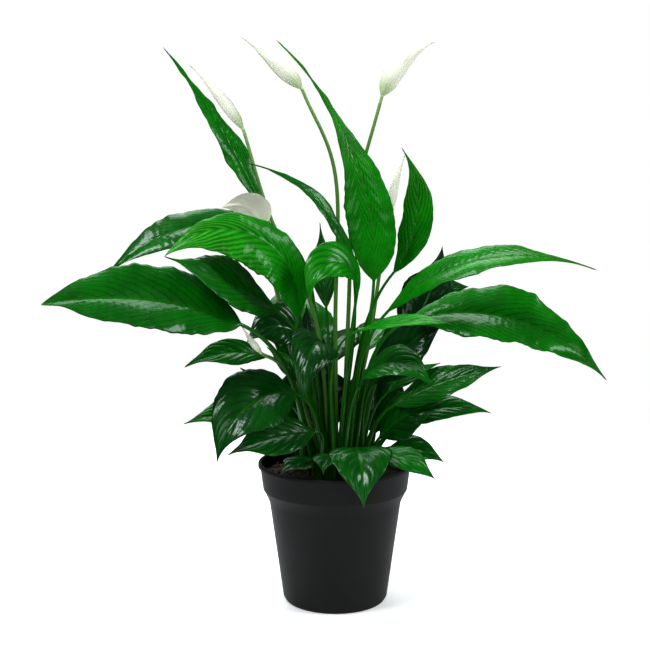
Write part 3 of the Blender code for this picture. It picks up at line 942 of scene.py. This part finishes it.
# %% Leaves: veins and waves
VEIN_SPACING = 0.0105
VEIN_SWEEP = 0.42
PUFF = 0.00080
WAVE_LENGTH = 0.030
TIP_END = 0.96


def vein_number(leaf, s, u):
    """A whole number on each side vein, counted from the blade's start."""
    return (s - VEIN_SWEEP * abs(u) ** 1.25) * leaf.length / VEIN_SPACING


def puffs(leaf, s, u):
    """How far the blade stands up between its side veins, which lie sunk in it."""
    between = abs(math.sin(math.pi * vein_number(leaf, s, u)))
    room = min(1.0, abs(u) / 0.12) * (1 - abs(u) ** 5) * math.sin(math.pi * min(1, s)) ** 0.5
    return PUFF * (between**0.75 - 0.6) * room


def edge_noise(leaf, seed, row, pace, s, u):
    """Smooth noise along the blade, with a row of its own on each side of the midrib."""
    return noise.noise(Vector((seed, row if u > 0 else -row, pace * s * leaf.length / WAVE_LENGTH)))


def edge_wave(leaf, seed, s, u):
    """The two edges wave up and down, each with its own rhythm."""
    beat = edge_noise(leaf, seed, 3.1, 1.0, s, u)
    fine = edge_noise(leaf, seed + 5.5, 7.7, 3.2, s, u)
    return leaf.wave * (2.4 * beat + 0.7 * fine) * abs(u) ** 2.2 * math.sin(math.pi * s) ** 0.4


def ragged(leaf, seed, s, u):
    """Small swellings and nicks in the blade's width."""
    swelling = edge_noise(leaf, seed + 9.1, 2.3, 1.7, s, u)
    nick = edge_noise(leaf, seed + 2.4, 6.1, 6.5, s, u)
    return 1 + 0.13 * swelling + 0.05 * nick


def tip_share(leaf, s):
    """0 over the body of the blade, rising smoothly to 1 in its drawn-out tip."""
    t = min(1.0, max(0.0, (s - leaf.drip_from) / (TIP_END - leaf.drip_from)))
    return t * t * (3 - 2 * t)


# %% [markdown]
# Blade and stalk are one grown piece, so one skin makes both. Across the blade it is a flat lens,
# whose halves fold up from the midrib and sag again towards the edge, with a rib standing out
# underneath. Below the blade it closes to the round leafstalk, which is grooved on top and winged
# near its foot, where stalks sheathe each other. Each point is marked with where it lies, for the
# finish to read.

# %% Leaves: the rule of the skin
STALK_ROWS = 26
STALK_STEP = 0.01
SHEATH_WING = 2.2
SHEATH_TOP = 0.9
GROOVE = 0.22
ROW_LENGTH = 0.0013
FEWEST_ROWS = 36
AROUND = 52
FOLD = 0.42
SAG = 0.30
BLADE_HALF_THICKNESS = 0.00028
FLAT_FROM = 0.14
TIP_CLOSES = 0.02
NECK_DRAWN = 0.6
RIB = 0.8
RIB_TAPER = 0.85
THINNEST_RIB = 1e-5
MARKS = ("across", "along", "vein", "tone", "under")


class Skin:
    """Lays one leaf's skin. A hood has no leafstalk of its own, so its stalk_rows are 0."""

    def __init__(self, leaf, seed, stalk_rows=STALK_ROWS, cup=1.0, ripples=1.0, neck=None):
        self.leaf = leaf
        self.seed = seed
        self.line = blade_line(leaf)
        self.blade_rows = max(FEWEST_ROWS, round(leaf.length / ROW_LENGTH))
        self.stalk_rows = stalk_rows
        self.rows = stalk_rows + self.blade_rows
        self.cup = cup
        self.ripples = ripples
        self.neck = stalk_radius(leaf, 1) if neck is None else neck
        heading, pitch = blade_aim(leaf, 0)
        self.first_across = across_blade(heading, direction(heading, pitch), leaf.roll)

    def build(self):
        bm = bmesh.new()
        self.layers = {name: bm.verts.layers.float.new(name) for name in MARKS}
        laid_grid(bm, self.rows, AROUND, self.rule)
        close_skin(bm)
        return bm

    def mark(self, point, **values):
        for name, value in values.items():
            point[self.layers[name]] = value

    def rule(self, a, b, point):
        row = b * self.rows
        if row < self.stalk_rows - 0.001:
            return self.stalk_point(a, row / self.stalk_rows, point)
        return self.blade_point(a, (row - self.stalk_rows) / self.blade_rows, point)

    def stalk_point(self, a, t, point):
        leaf = self.leaf
        centre = leafstalk_place(leaf, t)
        ahead = leafstalk_place(leaf, min(t + STALK_STEP, 1))
        along = (ahead - leafstalk_place(leaf, max(t - STALK_STEP, 0))).normalized()
        if t == 0:
            along = Vector((0, 0, 1))
            centre.z -= ROOT_DEPTH
        across = (self.first_across - along * self.first_across.dot(along)).normalized()
        up = along.cross(across)
        angle = 2 * math.pi * a
        groove = GROOVE * max(0.0, math.sin(angle)) ** 8 * min(1, 3 * t)
        wing = 1 + SHEATH_WING * max(0.0, 1 - t / SHEATH_TOP)
        out = across * (math.cos(angle) * wing) + up * (math.sin(angle) * (1 - groove))
        self.mark(point, across=math.cos(angle), along=t - 1, vein=0.5, tone=leaf.tone, under=0.0)
        return centre + out * stalk_radius(leaf, t)

    def half_width(self, s, u, drawn, end):
        """The outline's own half width, and nowhere less than the neck, which closes at the tip."""
        leaf = self.leaf
        grown = leaf.broad * leaf.halves[u > 0] * ragged(leaf, self.seed, s, u)
        half_width = outline(leaf, s) * grown * (1 - leaf.drip * drawn)
        return max(half_width, self.neck * end * (1 - NECK_DRAWN * drawn))

    def blade_point(self, a, s, point):
        leaf = self.leaf
        s = min(1.0, max(0.0, s))
        heading, pitch = blade_aim(leaf, s)
        along = direction(heading, pitch)
        drawn = tip_share(leaf, s)
        across = across_blade(heading, along, leaf.roll + leaf.twist * drawn)
        up = along.cross(across)
        angle = 2 * math.pi * a
        top = math.sin(angle) >= 0
        x = 1 - 4 * a if top else 4 * a - 3
        stalkness = max(0.0, 1 - s / FLAT_FROM)
        flat = 1 - stalkness
        u = math.cos(angle) * stalkness + x * (1.2 - 0.2 * x * x) * flat
        end = min(1.0, (1 - s) / TIP_CLOSES)
        half_width = self.half_width(s, u, drawn, end)
        half_height = max(BLADE_HALF_THICKNESS * end, self.neck * stalkness)
        lift = self.cup * flat * half_width * (FOLD * abs(u) - SAG * u * u)
        lift += flat * self.ripples * (puffs(leaf, s, u) + edge_wave(leaf, self.seed, s, u))
        skin = half_height * math.sqrt(max(0.0, 1 - u * u)) * (1 if top else -1)
        if not top:
            rib = RIB * self.neck * (1 - RIB_TAPER * s)
            skin -= flat * rib * math.exp(-((u * half_width / max(rib, THINNEST_RIB)) ** 2)) * end
        self.mark(
            point, across=u, along=s, vein=vein_number(leaf, s, u), tone=leaf.tone,
            under=0.0 if top or stalkness > 0.5 else 1.0,
        )
        return blade_place(leaf, self.line, s) + across * (half_width * u) + up * (lift + skin)


print(f"each leaf is a skin of {AROUND} faces round, marked with {', '.join(MARKS)}")

# %% [markdown]
# ## Leaves: finish
#
# A peace lily's leaf is waxy. Its green is saturated, deeper and bluer in old leaves, and painted
# light sets it darker on leaves in shade and brighter on leaves that light shines through. The
# midrib and the side veins show as fine lines, the grooves of the side veins are darkened with
# painted shade, and the crests between them on young leaves carry a painted highlight. The dull
# underside is paler, and the dry tip and edge are bronze.
# The marks on the mesh say where each point lies, so the pattern follows every bend. The leafstalk
# is a smoother yellow-green, darker towards the blade, and streaked along its length. A pattern
# could be painted on each leaf, but these rules serve all of them.

# %% Leaves: green
wax = Finish("leaf_wax", IOR=1.4, Specular_IOR_Level=0.13, Coat_Roughness=0.17, Coat_IOR=1.5)
across, along, vein, tone, under = [wax.attribute(name) for name in MARKS]
side = abs(across)
mottle = wax.noise(45.0, 4.0, 0.6)
speck = wax.noise(900.0, 2.0)
between = vein.zigzag()
fine_veins = (vein * 6).zigzag()
sunk = 1 - wax.ramp(between, 0.0, 0.34)
on_blade = wax.ramp(along, 0.0, 0.10)

old = wax.mix(wax.ramp(mottle, 0.3, 0.7), rgb(0.0, 0.022, 0.0035), rgb(0.0, 0.045, 0.003))
young = wax.mix(wax.ramp(mottle, 0.3, 0.7), rgb(0.0, 0.170, 0.0), rgb(0.001, 0.250, 0.0))
# Painted light: the tone that blends old and young green is set higher for leaves that light shines
# through and lower for leaves in shade.
green = wax.mix(tone, old, young)
# Painted shade: the grooves of the side veins are darkened.
green = wax.mix(sunk * on_blade * 0.45, green, rgb(0.0003, 0.022, 0.002))
green = wax.mix((1 - sunk) * fine_veins * tone * 0.12, green, rgb(0.040, 0.240, 0.010))
# Painted highlight: on the upper blade of bright young leaves, the crests between the side veins are
# lightened.
painted_crest_highlight = wax.ramp(between, 0.45, 0.95) * wax.ramp(along, 0.30, 0.85) * wax.ramp(tone, 0.7, 1.0)
green = wax.mix(painted_crest_highlight * 0.55, green, rgb(0.130, 0.360, 0.050))
green = wax.mix((1 - wax.ramp(side, 0.015, 0.06)) * on_blade * 0.45, green, rgb(0.020, 0.150, 0.008))
green = wax.mix(wax.ramp(side, 0.955, 1.0) * on_blade * 0.4, green, rgb(0.020, 0.060, 0.006))
green = wax.mix(wax.ramp(along, 0.965, 1.0) * 0.8, green, rgb(0.105, 0.065, 0.025))
back = wax.mix(wax.ramp(mottle, 0.2, 0.8), rgb(0.001, 0.050, 0.002), rgb(0.003, 0.080, 0.003))
green = wax.mix(under * on_blade * 0.75, green, back)

# %% Leaves: leafstalk and shine
streaks = wax.streaks(2.0, across * 6.0, along * 1.5, tone * 9.0)
stalk_green = wax.mix(streaks, rgb(0.001, 0.055, 0.001), rgb(0.018, 0.160, 0.003))
stalk_green = wax.mix(wax.ramp(along, -0.45, 0.0) * 0.5, stalk_green, green)
stalk_green = wax.mix((1 - wax.ramp(along, -1.0, -0.90)) * 0.6, stalk_green, rgb(0.190, 0.230, 0.070))
wax.set(
    Base_Color=wax.mix(on_blade, stalk_green, green),
    Roughness=0.34 + 0.12 * mottle + 0.2 * under * on_blade,
    Coat_Weight=0.55 - 0.45 * under * on_blade - 0.35 * tone,
)
wax.bump(fine_veins * 0.25 * on_blade + speck * 0.35 - sunk * on_blade * 0.6, 0.00022)
print(f"leaf wax: {len(wax.tree.nodes)} nodes")

# %% Leaves: the pieces
SEED_STEP = 1.7
widest_stray = 0.0
leaf_faces = 0
for number, (name, leaf) in enumerate(LEAVES.items()):
    bm = Skin(leaf, SEED_STEP * number).build()
    piece = add_piece(name.replace("leaf_", "blade_"), bm, wax, "leaf", name)
    widest_stray = max(widest_stray, stray(piece, name))
    leaf_faces += len(piece.data.polygons)
print(f"{len(LEAVES)} leaves, {leaf_faces} faces, boxes off by up to {widest_stray:.1f} mm")

# %% [markdown]
# ## Flowers
#
# There are six flowers. Each has a slim stalk and a white hood, which is a changed leaf. Four are
# still furled, one is a small bud, and one is open. Their routes and bends repeat those of the
# plain solids.


# %% Flowers: the table
class Flower(NamedTuple):
    """As in Leaf, angles are in degrees and lengths in metres."""

    route: tuple  # points of the stalk
    heading: float  # bearing that the hood leans towards
    pitch: tuple  # the hood's climb at its foot and at its point
    length: float
    width: float
    roll: float = 0.0  # turn of the hood about its middle


FURLED = {
    "left": Flower(
        (
            (-0.004, 0.006, SOIL_TOP_Z),
            (-0.015, 0.000, 0.220),
            (-0.050, 0.005, 0.300),
            (-0.070, 0.010, 0.365),
        ),
        180, (60, 40), 0.065, 0.009,
    ),
    "centre": Flower(
        (
            (0.001, 0.001, SOIL_TOP_Z),
            (0.000, 0.000, 0.220),
            (0.000, 0.000, 0.330),
            (-0.025, 0.000, 0.395),
        ),
        180, (50, 30), 0.060, 0.012,
    ),
    "right": Flower(
        (
            (0.006, 0.006, SOIL_TOP_Z),
            (0.010, 0.010, 0.220),
            (0.015, 0.010, 0.310),
            (0.035, 0.010, 0.390),
        ),
        0, (70, 20), 0.060, 0.014,
    ),
    "back": Flower(
        (
            (0.004, 0.012, SOIL_TOP_Z),
            (0.025, 0.030, 0.190),
            (0.035, 0.040, 0.250),
            (0.040, 0.040, 0.290),
        ),
        180, (100, 110), 0.060, 0.008,
    ),
    "bud": Flower(
        (
            (-0.008, -0.001, SOIL_TOP_Z),
            (-0.025, -0.020, 0.160),
            (-0.040, -0.030, 0.190),
            (-0.055, -0.035, 0.200),
        ),
        185, (50, 60), 0.025, 0.005,
    ),
}
OPEN = Flower(
    (
        (-0.013, -0.001, SOIL_TOP_Z),
        (-0.035, 0.000, 0.200),
        (-0.050, -0.005, 0.265),
        (-0.055, -0.010, 0.290),
    ),
    190, (80, -25), 0.040, 0.030, 55,
)
print(f"{len(FURLED)} furled flowers and an open one")

# %% [markdown]
# A flower's stalk is smooth, round and slim, and thickest at its foot. A curve object with a bevel
# would do, but a skin round a smoothed route can carry marks, which the finish and the furled hoods
# below need. So one helper rolls a skin round any row of centres.

# %% Flowers: stalks
FLOWER_STALK_RADIUS = 0.0012
UPRIGHT_FOOT = 0.005
STALK_AROUND = 20
ROUTE_STEPS = 14


def smooth_route(points, steps):
    """Points along a Catmull-Rom curve through the given ones."""
    ends = [2 * points[0] - points[1], *points, 2 * points[-1] - points[-2]]
    found = []
    for index in range(1, len(ends) - 2):
        a, b, c, d = ends[index - 1 : index + 3]
        for step in range(steps):
            t = step / steps
            bend = (2 * a - 5 * b + 4 * c - d) * t**2 + (3 * b - 3 * c + d - a) * t**3
            found.append(0.5 * (2 * b + (c - a) * t + bend))
    return [*found, points[-1]]


def rolled(centres, around, radius):
    """A closed skin that lies radius(round_share, along_share) from a row of centres."""
    bm = bmesh.new()
    layers = {name: bm.verts.layers.float.new(name) for name in ("along", "across")}
    last = len(centres) - 1
    aims = [(centres[min(i + 1, last)] - centres[max(i - 1, 0)]).normalized() for i in range(last + 1)]
    sides = [aims[0].orthogonal().normalized()]
    for aim in aims[1:]:
        sides.append((sides[-1] - aim * sides[-1].dot(aim)).normalized())

    def rule(a, b, point):
        row = round(b * last)
        angle = 2 * math.pi * a
        out = sides[row] * math.cos(angle) + aims[row].cross(sides[row]) * math.sin(angle)
        point[layers["along"]] = b
        point[layers["across"]] = a
        return centres[row] + out * radius(a, b)

    laid_grid(bm, last, around, rule)
    close_skin(bm)
    return bm


def stalk_of(flower):
    """Its foot runs straight down into the mix."""
    route = [Vector(point) for point in flower.route]
    foot = route[0] - Vector((0, 0, ROOT_DEPTH))
    route[0] = route[0] + Vector((0, 0, UPRIGHT_FOOT))
    centres = [foot, *smooth_route(route, ROUTE_STEPS)]
    return rolled(centres, STALK_AROUND, lambda a, b: FLOWER_STALK_RADIUS * stalk_taper(b))


# %% [markdown]
# The stalk's skin is yellow-green with fine lines along it, and pales under the hood. The lines are
# noise over the marks, so they follow each bend.

# %% Flowers: stalk finish
sap = Finish("flower_stalk_skin", IOR=1.45, Coat_Weight=0.25, Coat_Roughness=0.2)
up_stalk = sap.attribute("along")
round_stalk = sap.attribute("across")
lines = sap.streaks(3.0, round_stalk * 9.0, up_stalk * 3.0)
skin = sap.mix(lines, rgb(0.018, 0.130, 0.008), rgb(0.120, 0.270, 0.040))
skin = sap.mix(sap.ramp(up_stalk, 0.82, 1.0) * 0.5, skin, rgb(0.260, 0.420, 0.120))
sap.set(Base_Color=skin, Roughness=0.38 + 0.1 * lines)
sap.bump(lines, 0.0001)
print(f"stalk skin: {len(sap.tree.nodes)} nodes")

# %% [markdown]
# A young hood is still rolled round its spike, with one edge lapped over the other in a long spiral,
# and drawn out to a point. The inner turns can't be seen, so it is one closed spindle, and the lap
# is a step in its radius that turns as it climbs.

# %% Flowers: furled hoods
HOOD_PLUMP = 0.58
HOOD_FATTEST = 0.62
HOOD_POINT = 1.5
LAP = 0.16
LAP_END = 0.955
LAP_TURNS = 0.62
HOOD_ROWS = 70
HOOD_AROUND = 64


def hood_leaf(flower):
    """A hood has a blade's bend, so it is described as a leaf, whose foot isn't used."""
    end = flower.route[-1]
    bearing = math.degrees(math.atan2(end[1], end[0]))
    start = (bearing, math.hypot(end[0], end[1]), end[2])
    unused_foot = (0, 0)
    return Leaf(unused_foot, start, *flower[1:])


def furled_radius(flower, s):
    """A spindle, fattest a little below its middle, as thick as the stalk at its foot."""
    spindle = HOOD_PLUMP * flower.width * max(0.0, math.sin(math.pi * s**HOOD_FATTEST)) ** HOOD_POINT
    return max(spindle, FLOWER_STALK_RADIUS * (1 - 0.6 * s) * min(1.0, (1 - s) / 0.04))


def furled_hood(flower):
    """The edge of the hood laps over itself along a spiral."""
    leaf = hood_leaf(flower)
    line = blade_line(leaf)
    centres = [blade_place(leaf, line, row / HOOD_ROWS) for row in range(HOOD_ROWS + 1)]

    def radius(a, b):
        turned = (a + LAP_TURNS * b) % 1.0
        lapped = turned / LAP_END if turned < LAP_END else (1 - turned) / (1 - LAP_END)
        swell = min(1.0, 6 * b) * min(1.0, 5 * (1 - b))
        return furled_radius(flower, b) * (1 - LAP * swell * (1 - lapped))

    return rolled(centres, HOOD_AROUND, radius)


# %% [markdown]
# A hood is cream-white and satin, greenish at its foot and its point, with faint veins that run its
# whole length. Plain white would look like plastic, so a soft cloud and the veins vary it.

# %% Flowers: petal finish
petal = Finish("hood_petal", IOR=1.4, Coat_Weight=0.08, Coat_Roughness=0.3)
up_hood = petal.attribute("along")
round_hood = petal.attribute("across")
hood_veins = (round_hood * 14).zigzag()
cloud = petal.noise(120.0, 3.0)
cream = petal.mix(cloud, rgb(0.70, 0.72, 0.58), rgb(0.83, 0.84, 0.74))
cream = petal.mix((1 - petal.ramp(hood_veins, 0.0, 0.3)) * 0.22, cream, rgb(0.52, 0.62, 0.36))
cream = petal.mix((1 - petal.ramp(up_hood, 0.02, 0.30)) * 0.75, cream, rgb(0.36, 0.52, 0.20))
cream = petal.mix(petal.ramp(up_hood, 0.86, 1.0) * 0.7, cream, rgb(0.34, 0.46, 0.17))
petal.set(Base_Color=cream, Roughness=0.42 + 0.12 * cloud)
petal.bump(petal.ramp(hood_veins, 0.0, 0.4) + cloud * 0.5, 0.00015)
print(f"petal: {len(petal.tree.nodes)} nodes")

# %% Flowers: the furled pieces
for name, flower in FURLED.items():
    add_piece(f"flower_stalk_{name}", stalk_of(flower), sap, "stalk", f"stalk_{name}")
    hood = add_piece(f"hood_{name}", furled_hood(flower), petal, "spathe", f"spathe_{name}")
    print(f"{name}: hood off by {stray(hood, f'spathe_{name}'):.1f} mm")

# %% [markdown]
# The open hood is a broad, cupped blade, so it is laid by the same rule as a leaf, with a deeper
# cup, softer ripples and no leafstalk. It sits just clear of its stalk's end and a little behind
# it, so that the spike has room in front.

# %% Flowers: the open hood
GAP = 0.0003
HOOD_CUP = 1.6
HOOD_RIPPLES = 0.5
HOOD_SEAT = 0.0007
HOOD_NECK = 0.8 * FLOWER_STALK_RADIUS
OPEN_SEED = 77.7
first_aim = direction(OPEN.heading, OPEN.pitch[0])
first_up = first_aim.cross(across_blade(OPEN.heading, first_aim, OPEN.roll))
seat = first_aim * (2 * GAP) - first_up * HOOD_SEAT
hood_skin = Skin(
    hood_leaf(OPEN), OPEN_SEED, stalk_rows=0, cup=HOOD_CUP, ripples=HOOD_RIPPLES, neck=HOOD_NECK,
)
bm = hood_skin.build()
bmesh.ops.translate(bm, verts=bm.verts, vec=seat)
open_hood = add_piece("hood_open", bm, petal, "spathe", "spathe_open")
add_piece("flower_stalk_open", stalk_of(OPEN), sap, "stalk", "stalk_open")
print(f"open hood off by {stray(open_hood, 'spathe_open'):.1f} mm")

# %% [markdown]
# The spike, the spadix, is a blunt finger packed with tiny round flowers in crossing spirals. Each
# could be its own ball, but they are grown together, so one skin swells in two sets of spirals, and
# a knob stands where they meet. Pollen makes it matte.

# %% Flowers: the spike
SPADIX_LENGTH = 0.020
SPADIX_RADIUS = 0.0028
SPADIX_NECK = 0.24
NECK_SHARE = 0.06
SPADIX_SEAT = 0.0009
SPADIX_LEAN = 0.45
SPADIX_ROWS = 72
SPADIX_AROUND = 60
KNOBS_ROUND = 9
KNOBS_ALONG = 16


def spadix_radius(a, b):
    """A blunt spike on a thin neck, covered with rows of tiny round flowers."""
    body = SPADIX_RADIUS * min(1.0, SPADIX_NECK + max(0.0, b - NECK_SHARE) * 6) * (1 - 0.75 * b**5)
    knob = abs(math.sin(math.pi * (KNOBS_ROUND * a + 0.5 * KNOBS_ALONG * b)))
    knob *= abs(math.sin(math.pi * (KNOBS_ROUND * a - 0.5 * KNOBS_ALONG * b)))
    return body * (0.88 + 0.2 * math.sqrt(knob)) if b < 1 else 0.0


base = Vector(OPEN.route[-1]) + first_aim * (2 * GAP) + first_up * SPADIX_SEAT
lean = (first_aim + SPADIX_LEAN * first_up).normalized()
centres = [base + lean * (SPADIX_LENGTH * row / SPADIX_ROWS) for row in range(SPADIX_ROWS + 1)]
bm = rolled(centres, SPADIX_AROUND, spadix_radius)

# %% Flowers: pollen, and the piece
pollen = Finish("spadix_pollen", IOR=1.4)
dusting = pollen.noise(1500.0, 3.0)
pollen.set(
    Base_Color=pollen.mix(dusting, rgb(0.62, 0.52, 0.22), rgb(0.86, 0.80, 0.52)),
    Roughness=0.7 + 0.2 * dusting,
)
pollen.bump(dusting, 0.0001)
spike = add_piece("flower_spike", bm, pollen, "spadix", "spadix_open")
print(f"spike off by {stray(spike, 'spadix_open'):.1f} mm")

# %% [markdown]
#
# The finished plant has to be the size of the plain solids. The two boxes are compared, and their
# differences are printed for each axis.

# %% Compare both boxes
made_low, made_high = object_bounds()
for axis, name in enumerate("XYZ"):
    low = 1000 * (made_low[axis] - cad_low[axis])
    high = 1000 * (made_high[axis] - cad_high[axis])
    print(f"{name}: {low:+.1f}, {high:+.1f} mm")
